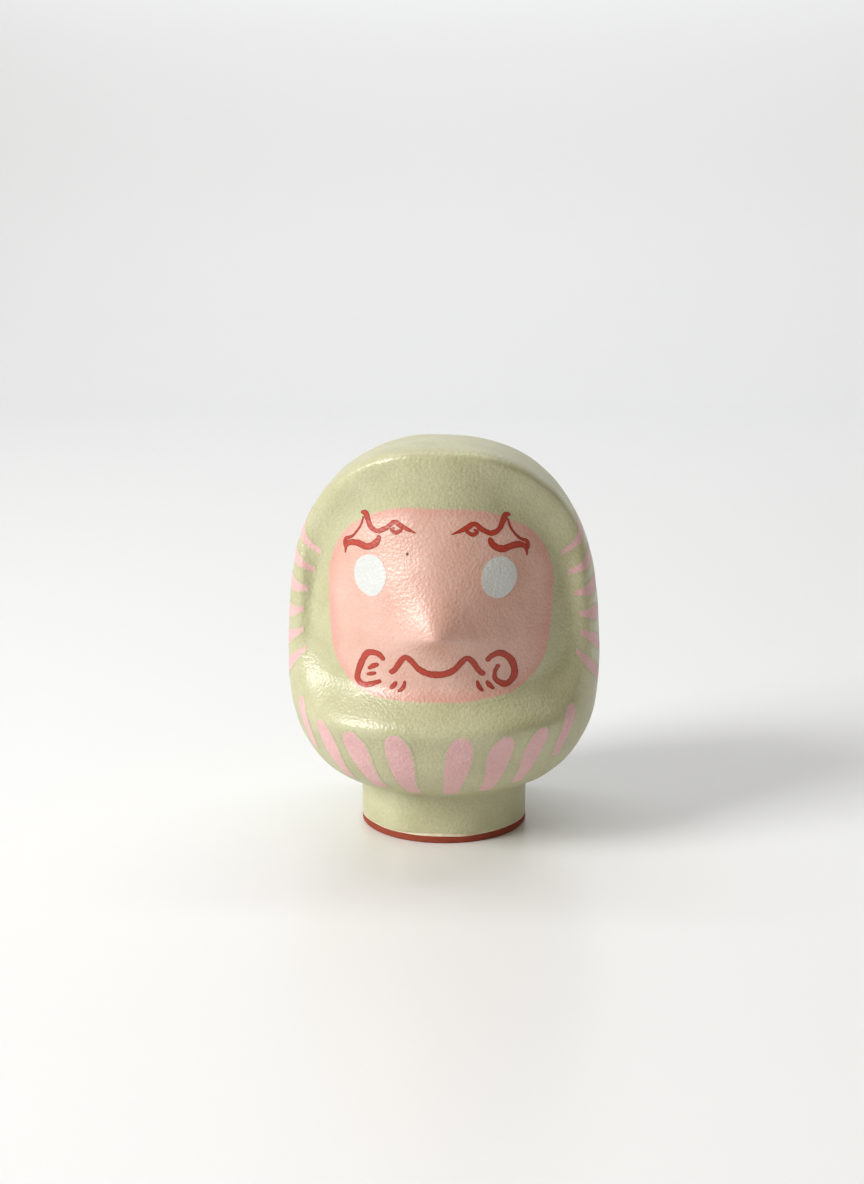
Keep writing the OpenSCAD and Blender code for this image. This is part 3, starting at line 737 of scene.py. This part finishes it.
# The coat's rings shrink in even steps from the outline to the nose's tip
def faceCoat():
    angle = np.linspace(0, 2 * np.pi, facePatch["around"], endpoint=False)
    midZ = face["chin"] + facePatch["midUp"] * face["span"]
    waves = np.sin(3 * angle + 1) + 0.6 * np.sin(5 * angle) + 0.4 * np.sin(11 * angle)
    wander = facePatch["wander"] * waves
    grow = facePatch["margin"]
    edgeX, edgeZ = faceOval(angle, face["halfWidth"] + grow + wander,
                            facePatch["halfUp"] * face["span"] + grow + wander)
    edgeZ = edgeZ + midZ
    inward = (np.arange(facePatch["rings"]) / facePatch["rings"])[:, None]
    x, z = mix(edgeX, 0.0, inward), mix(edgeZ, face["noseZ"], inward)
    reach = np.hypot(edgeX, edgeZ - face["noseZ"]) * inward
    base = frontPoint(x, z).reshape(-1, 3)
    n = normalsOf(frontPoint, x, z, 0.05, 0.05).reshape(-1, 3)
    middle = frontPoint(np.array([0.0]), np.array([face["noseZ"]]))
    middleN = normalsOf(frontPoint, np.array([0.0]), np.array([face["noseZ"]]), 0.3, 0.3)
    base, n = np.concatenate([base, middle]), np.concatenate([n, middleN])
    rings, around = facePatch["rings"], facePatch["around"]
    last = (rings - 1) * around + np.arange(around)
    fan = np.stack([last, np.roll(last, -1), np.full(around, rings * around)], axis=1)
    edge = np.concatenate([reach.ravel() - grow, [facePatch["wellInside"]]])
    return addSolid("faceCoat", [{
        "outer": base + n * lift["coat"], "inner": base + n * lift["under"], "normals": n,
        "faces": [gridFaces(rings, around, around=True), fan], "rim": np.arange(around),
        "fields": {"edge": (edge, edge)}}], facePaint, ["face_coat"])


faceCoat()
print("face coat made")

# Face layout: across in hundredths of the body's half width, up in hundredths of the face
handShift = -0.7                 # brows and eyes were painted slightly off the middle


def place(across, up):
    return across * doll["halfWidth"] / 100, face["chin"] + up * face["span"] / 100


# Eyes: a drop of thick white, whose height falls off with a high power of the way to its edge
eye = {"across": 38.8, "up": 68.8, "halfWidth": 3.35, "halfHeight": 3.95, "dome": 0.10,
       "domeFlat": 6, "rings": 24, "around": 96, "wobble": 0.012}


def addEye(name, side, node):
    midX, midZ = place(side * eye["across"], eye["up"])
    angle = np.linspace(0, 2 * np.pi, eye["around"], endpoint=False)
    share = (1 - np.arange(eye["rings"]) / eye["rings"])[:, None]
    wobble = 1 + eye["wobble"] * (np.sin(3 * angle + side) + np.sin(5 * angle + 2))
    x = midX + handShift + share * eye["halfWidth"] * np.cos(angle) * wobble
    z = midZ + share * eye["halfHeight"] * np.sin(angle) * wobble
    x = np.append(x.ravel(), midX + handShift)
    z = np.append(z.ravel(), midZ)
    fall = np.broadcast_to(share ** eye["domeFlat"], (eye["rings"], eye["around"]))
    rise = np.append(1 - fall.ravel(), 1.0)
    base, n = frontPoint(x, z), normalsOf(frontPoint, x, z, 0.05, 0.05)
    last = (eye["rings"] - 1) * eye["around"] + np.arange(eye["around"])
    fan = np.stack([last, np.roll(last, -1), np.full(eye["around"], eye["rings"] * eye["around"])], axis=1)
    high = lift["mark"] + eye["dome"] * rise
    return addSolid(name, [{
        "outer": base + n * high[:, None], "inner": base + n * lift["markUnder"], "normals": n,
        "faces": [gridFaces(eye["rings"], eye["around"], around=True), fan],
        "rim": np.arange(eye["around"])}], eyePaint, [node])


addEye("eyeWhiteLeft", -1, "eye_white_left")
addEye("eyeWhiteRight", 1, "eye_white_right")
print("eyes made")

# Brush lines. Each line is a few points [across, up, half width in mm] in the face layout
brush = {"step": 0.09, "across": 9, "curveSteps": 40, "endSteps": 8, "endCrowd": 0.35,
         "thinnest": 0.05, "wobble": 0.05, "waves": (2.1, 5.3), "bead": 0.03, "beadWidth": 0.4,
         "stack": 0.004}         # each later line of a mark lies this much higher


# Smooth curve through the points: a Catmull-Rom cubic between each two of them
def smoothLine(points, steps):
    p = np.concatenate([2 * points[:1] - points[1:2], points, 2 * points[-1:] - points[-2:-1]])
    a, b, c, d = (p[i:len(points) - 1 + i, None] for i in range(4))
    t = np.linspace(0, 1, steps, endpoint=False)[None, :, None]
    curve = 0.5 * (2 * b + (c - a) * t + (2 * a - 5 * b + 4 * c - d) * t ** 2
                   + (3 * b - a - 3 * c + d) * t ** 3)
    return np.concatenate([curve.reshape(-1, points.shape[1]), points[-1:]])


# Brush line as a slab: stations at even steps along the curve, each as wide as the brush was,
# with round ends, where the width shrinks as a half circle, and a top that is a low arch
def brushPatch(line, side, shift, order):
    points = np.array(line, float)
    x, z = place(points[:, 0] * side, points[:, 1])
    fine = smoothLine(np.stack([x + shift, z, points[:, 2]], axis=1), brush["curveSteps"])
    length = np.concatenate([[0], np.cumsum(np.hypot(*np.diff(fine[:, :2], axis=0).T))])
    count = int(length[-1] / brush["step"]) + brush["endSteps"]
    even = np.linspace(0, 1, count)
    s = length[-1] * (even - np.sin(2 * np.pi * even) / (2 * np.pi) * brush["endCrowd"])
    x, z, w = (np.interp(s, length, fine[:, k]) for k in range(3))
    long, short = brush["waves"]
    w = np.maximum(w, brush["thinnest"]) * (1 + brush["wobble"] * np.sin(s * long + 1.7 * order + side)
                                            + 0.5 * brush["wobble"] * np.sin(s * short + order))
    nearEnd = np.minimum(s, length[-1] - s) / w
    w = w * np.maximum(roundOff(1 - np.clip(nearEnd, 0, 1), 2), 0.02)
    tangent = np.stack([np.gradient(x), np.gradient(z)], axis=1)
    tangent /= np.linalg.norm(tangent, axis=1, keepdims=True)
    k = np.linspace(1, -1, brush["across"])
    k = np.sin(k * np.pi / 2)
    gx = x[:, None] - tangent[:, 1:] * k * w[:, None]
    gz = z[:, None] + tangent[:, :1] * k * w[:, None]
    base, n = frontPoint(gx, gz), normalsOf(frontPoint, gx, gz, 0.05, 0.05)
    arch = brush["bead"] * (1 - k ** 2) * np.minimum(1, w / brush["beadWidth"])[:, None]
    top = lift["mark"] + brush["stack"] * order + arch
    edge = w[:, None] * (1 - np.abs(k))
    return {"outer": base + n * top[..., None], "inner": base + n * lift["markUnder"], "normals": n,
            "faces": [gridFaces(count, brush["across"])], "rim": gridRim(count, brush["across"]),
            "fields": {"edge": (edge.ravel(), edge.ravel())}}


def addBrushwork(name, lines, side, shift, node):
    patches = [brushPatch(line, side, shift, i) for i, line in enumerate(lines)]
    return addSolid(name, patches, brushPaint, [node])


# Brow: a crane with its beak to the middle, a curl for its eye, neck, wing edge and low fan
browLines = [
    [[10.5, 88.3, 0.08], [18.8, 90.8, 0.5], [23.7, 92.7, 0.45], [28.9, 89.9, 0.45],
     [34.2, 88.3, 0.5], [38.5, 89.9, 0.5], [40.6, 93.3, 0.55], [42.2, 95.9, 0.6], [45.2, 96.3, 0.25]],
    [[18.8, 89.6, 0.3], [22.8, 88.1, 0.4], [25.5, 89.3, 0.3], [23.4, 90.4, 0.2]],
    [[43.4, 94.3, 0.18], [45.5, 89.7, 0.2], [50.2, 85.3, 0.25], [54.8, 83.5, 0.35],
     [55.7, 81.0, 0.3], [55.1, 79.4, 0.15]],
    [[32.6, 86.5, 0.4], [35.1, 83.0, 0.6], [40.6, 81.0, 0.65], [46.5, 82.1, 0.65],
     [51.7, 82.1, 0.55], [54.5, 80.3, 0.35], [55.1, 77.0, 0.1]]]
moustacheHalf = [[5.5, 26.6, 0.68], [10.8, 28.7, 0.62], [18.5, 33.9, 0.58], [25.5, 27.3, 0.55],
                 [28.9, 25.5, 0.45]]
moustacheLine = [[-a, up, w] for a, up, w in moustacheHalf[::-1]] + [[0, 26.1, 0.68]] + moustacheHalf
leftCurlLines = [
    [[31.7, 31.2, 0.45], [36.0, 34.0, 0.6], [42.5, 33.5, 0.62], [47.0, 27.5, 0.62],
     [48.9, 20.9, 0.58], [43.7, 18.6, 0.55], [33.8, 21.3, 0.4]],
    [[35.4, 29.1, 0.3], [38.8, 27.9, 0.5], [42.2, 26.1, 0.3]],
    [[36.9, 24.8, 0.25], [40.0, 24.1, 0.4], [43.1, 23.4, 0.25]]]
rightCurlLines = [
    [[29.5, 31.7, 0.45], [33.0, 34.2, 0.58], [38.5, 34.9, 0.62], [44.6, 30.7, 0.66],
     [46.2, 24.1, 0.66], [41.5, 20.2, 0.62], [35.4, 22.5, 0.5], [34.6, 26.1, 0.35], [36.9, 29.8, 0.5]]]
whiskerLines = [
    [[-24.3, 21.8, 0.25], [-26.2, 19.7, 0.5], [-28.6, 18.3, 0.3]],
    [[-19.1, 22.5, 0.25], [-20.3, 19.3, 0.4], [-23.7, 17.2, 0.2]],
    [[24.0, 22.9, 0.25], [25.2, 20.0, 0.42], [27.7, 17.7, 0.2]],
    [[29.5, 22.5, 0.3], [31.4, 20.4, 0.45], [34.2, 18.3, 0.25]]]
addBrushwork("browLeft", browLines, -1, handShift, "brow_left")
addBrushwork("browRight", browLines, 1, handShift, "brow_right")
addBrushwork("moustache", [moustacheLine], 1, 0.0, "moustache")
addBrushwork("cheekCurlLeft", leftCurlLines, -1, 0.0, "cheek_curl_left")
addBrushwork("cheekCurlRight", rightCurlLines, 1, 0.0, "cheek_curl_right")
addBrushwork("chinWhiskers", whiskerLines, 1, 0.0, "chin_whiskers")
print("brush lines made")

# Stripes. The coat runs past a stripe's outline by a margin that takes the colour of the sage
stripe = {"steps": 46, "across": 15, "margin": 0.5, "shoulder": 0.7, "wobble": 0.03, "bend": 0.2,
          "sideCount": 6, "sideTipTurn": 45.0, "sideTipArc": 13.0, "sideTipWave": 2.2,
          "sideTipDrop": (10.5, 30.6),
          "sideEndTurn": 82.0, "sideEndDrop": (3.5, 38.0), "sideWidths": (0.55, 1.5, 0.25),
          "bellyTurns": (11.5, 27.4, 41.2, 55.1), "bellyTops": (0.0, -0.4, 0.5, 3.5),
          "bellyEnds": (1.6, 2.8, 4.5, 10.0), "bellyShift": -2.9, "bellyLean": 2.0,
          "bellyWidths": (1.56, 2.6, 0.7),
          "bellyShares": (1.0, 0.95, 0.8, 0.72)}


# Half width along a stripe: it swells from tip to shoulder, and is rounded off at its end
def stripeWidth(t, tip, shoulder, end):
    high = stripe["shoulder"]
    swell = mix(tip, shoulder, ease(t / high))
    return mix(np.where(t < high, swell, shoulder), end, np.clip((t - high) / (1 - high), 0, 1) ** 3)


# Patch of a stripe whose middle runs from start to end, each [turn, z]; the columns lie across
# it, along z for a side stripe and along the turn for a belly stripe
def stripePatch(start, end, widths, acrossTurn, side, wave):
    length = np.hypot((end[0] - start[0]) * np.pi / 180 * doll["halfWidth"], end[1] - start[1])
    over = stripe["margin"] / length
    t = np.linspace(-over, 1 + over, stripe["steps"])[:, None]
    k = np.linspace(-1, 1, stripe["across"])[None, :]
    half = stripeWidth(np.clip(t, 0, 1), *widths)
    half = half * (1 + stripe["wobble"] * np.sin(7 * t + wave))
    offset = k * (half + stripe["margin"])
    turn, z = mix(start[0], end[0], t), mix(start[1], end[1], t)
    bend = stripe["bend"] * np.sin(3 * t + wave)
    if acrossTurn:
        turn = turn + (offset + bend) / profile(z, 0.0)[0] * 180 / np.pi
        z = z + 0 * offset
    else:
        turn = turn + 0 * offset
        z = z - side * offset + bend
    ends = np.minimum(t, 1 - t) * length
    edge = np.minimum(half - np.abs(offset), ends)
    base, n = skinPoint(turn, z), normalsOf(skinPoint, turn, z, 0.1, 0.05)
    return {"outer": base + n * lift["coat"], "inner": base + n * lift["under"], "normals": n,
            "faces": [gridFaces(stripe["steps"], stripe["across"])],
            "rim": gridRim(stripe["steps"], stripe["across"]),
            "fields": {"edge": (edge.ravel(), edge.ravel())}}


def sideStripes(side):
    patches = []
    for share in np.linspace(0, 1, stripe["sideCount"]):
        tipTurn = stripe["sideTipTurn"] + stripe["sideTipArc"] * np.sin(stripe["sideTipWave"] * share)
        tip = [side * tipTurn, face["top"] - mix(*stripe["sideTipDrop"], share)]
        end = [side * stripe["sideEndTurn"], face["top"] - mix(*stripe["sideEndDrop"], share)]
        patches.append(stripePatch(tip, end, stripe["sideWidths"], False, side, 7 * share + side))
    return patches


def bellyStripes():
    patches = []
    layout = [stripe[key] for key in ("bellyTurns", "bellyTops", "bellyEnds", "bellyShares")]
    for side in (-1, 1):
        for turn, top, end, wide in zip(*layout):
            middle = side * turn + stripe["bellyShift"]
            low = [middle - stripe["bellyLean"] * side, doll["footTop"] + end]
            tip, shoulder, last = stripe["bellyWidths"]
            patches.append(stripePatch(low, [middle, face["chin"] + top],
                                       (wide * tip, wide * shoulder, last), True, side, turn))
    return patches


addSolid("sideStripesLeft", sideStripes(-1), stripePaint, ["side_stripes_left"])
addSolid("sideStripesRight", sideStripes(1), stripePaint, ["side_stripes_right"])
addSolid("bellyStripesFront", bellyStripes(), stripePaint, ["belly_stripes_front"])
print("stripes made")

for name in ("seam_paper_left", "seam_paper_right", "crown_paper"):
    node = frame["nodes"][name]
    node.data.materials.clear()
    node.data.materials.append(pastedPaper)

# Floor: a pale satin sheet that sweeps up behind
floorShape = {"halfWidth": 3.0, "front": -1.2, "bend": 0.9, "radius": 0.7, "top": 2.2, "rows": 60,
              "colour": "#ECEDED"}


# Straight floor, a quarter of a circle and a straight wall, as one profile drawn out sideways
def addFloor():
    angle = np.linspace(0, np.pi / 2, floorShape["rows"])
    y = np.concatenate([[floorShape["front"]], floorShape["bend"] + floorShape["radius"] * np.sin(angle),
                        [floorShape["bend"] + floorShape["radius"]]])
    z = np.concatenate([[0.0], floorShape["radius"] * (1 - np.cos(angle)), [floorShape["top"]]])
    x = floorShape["halfWidth"] * np.array([-1.0, 1.0])
    grid = np.stack(np.broadcast_arrays(x, y[:, None], z[:, None]), axis=-1)
    mesh = bpy.data.meshes.new("floor")
    mesh.from_pydata(grid.reshape(-1, 3), [], gridFaces(len(y), 2).tolist())
    mesh.shade_smooth()
    material, tree, shader, place = newMaterial("paleSatinSheet", 0.3)
    shader.inputs["Base Color"].default_value = linear(floorShape["colour"])
    mesh.materials.append(material)
    floor = bpy.data.objects.new("floor", mesh)
    bpy.context.scene.collection.objects.link(floor)


addFloor()

# Soft studio light: a key from the left, a sheet overhead, a wash on the backdrop and a dim room
studio = {
    "lights": {
        "key": {"place": (-0.77, -0.46, 0.56), "aim": (0.0, 0.0, 0.04), "size": (0.40, 0.50),
                "power": 11.4, "colour": "#FFFEFC"},
        "overhead": {"place": (0.0, 0.05, 1.10), "aim": (0.0, 0.0, 0.04), "size": (0.8, 0.8),
                     "power": 0.5, "colour": "#F9FBFF"},
        "wash": {"place": (0.0, 0.55, 1.60), "aim": (0.0, 1.6, 0.30), "size": (2.4, 0.3),
                 "power": 19.0, "colour": "#F6F9FF"},
    },
    "room": "#F7ECDB", "roomStrength": 0.26,
    "camera": (0.0177, -0.3375, 0.120), "aim": (-0.0026, 0.0, 0.0492), "lens": 50.0,
}


def aimed(data, place, aim):
    thing = bpy.data.objects.new(data.name, data)
    bpy.context.scene.collection.objects.link(thing)
    thing.location = place
    thing.rotation_euler = (Vector(aim) - Vector(place)).to_track_quat("-Z", "Y").to_euler()
    return thing


for name, settings in studio["lights"].items():
    light = bpy.data.lights.new(name, "AREA")
    light.shape = "RECTANGLE"
    light.size, light.size_y = settings["size"]
    light.energy = settings["power"]
    light.color = linear(settings["colour"])[:3]
    aimed(light, settings["place"], settings["aim"])

world = bpy.data.worlds.new("room")
bpy.context.scene.world = world
world.use_nodes = True
world.node_tree.nodes["Background"].inputs["Color"].default_value = linear(studio["room"])
world.node_tree.nodes["Background"].inputs["Strength"].default_value = studio["roomStrength"]

camera = bpy.data.cameras.new("camera")
camera.lens = studio["lens"]
camera.sensor_width = 36.0
camera.clip_start, camera.clip_end = 0.01, 20.0
bpy.context.scene.camera = aimed(camera, studio["camera"], studio["aim"])
bpy.context.scene.view_settings.view_transform = "Standard"
print("floor, light and camera made")
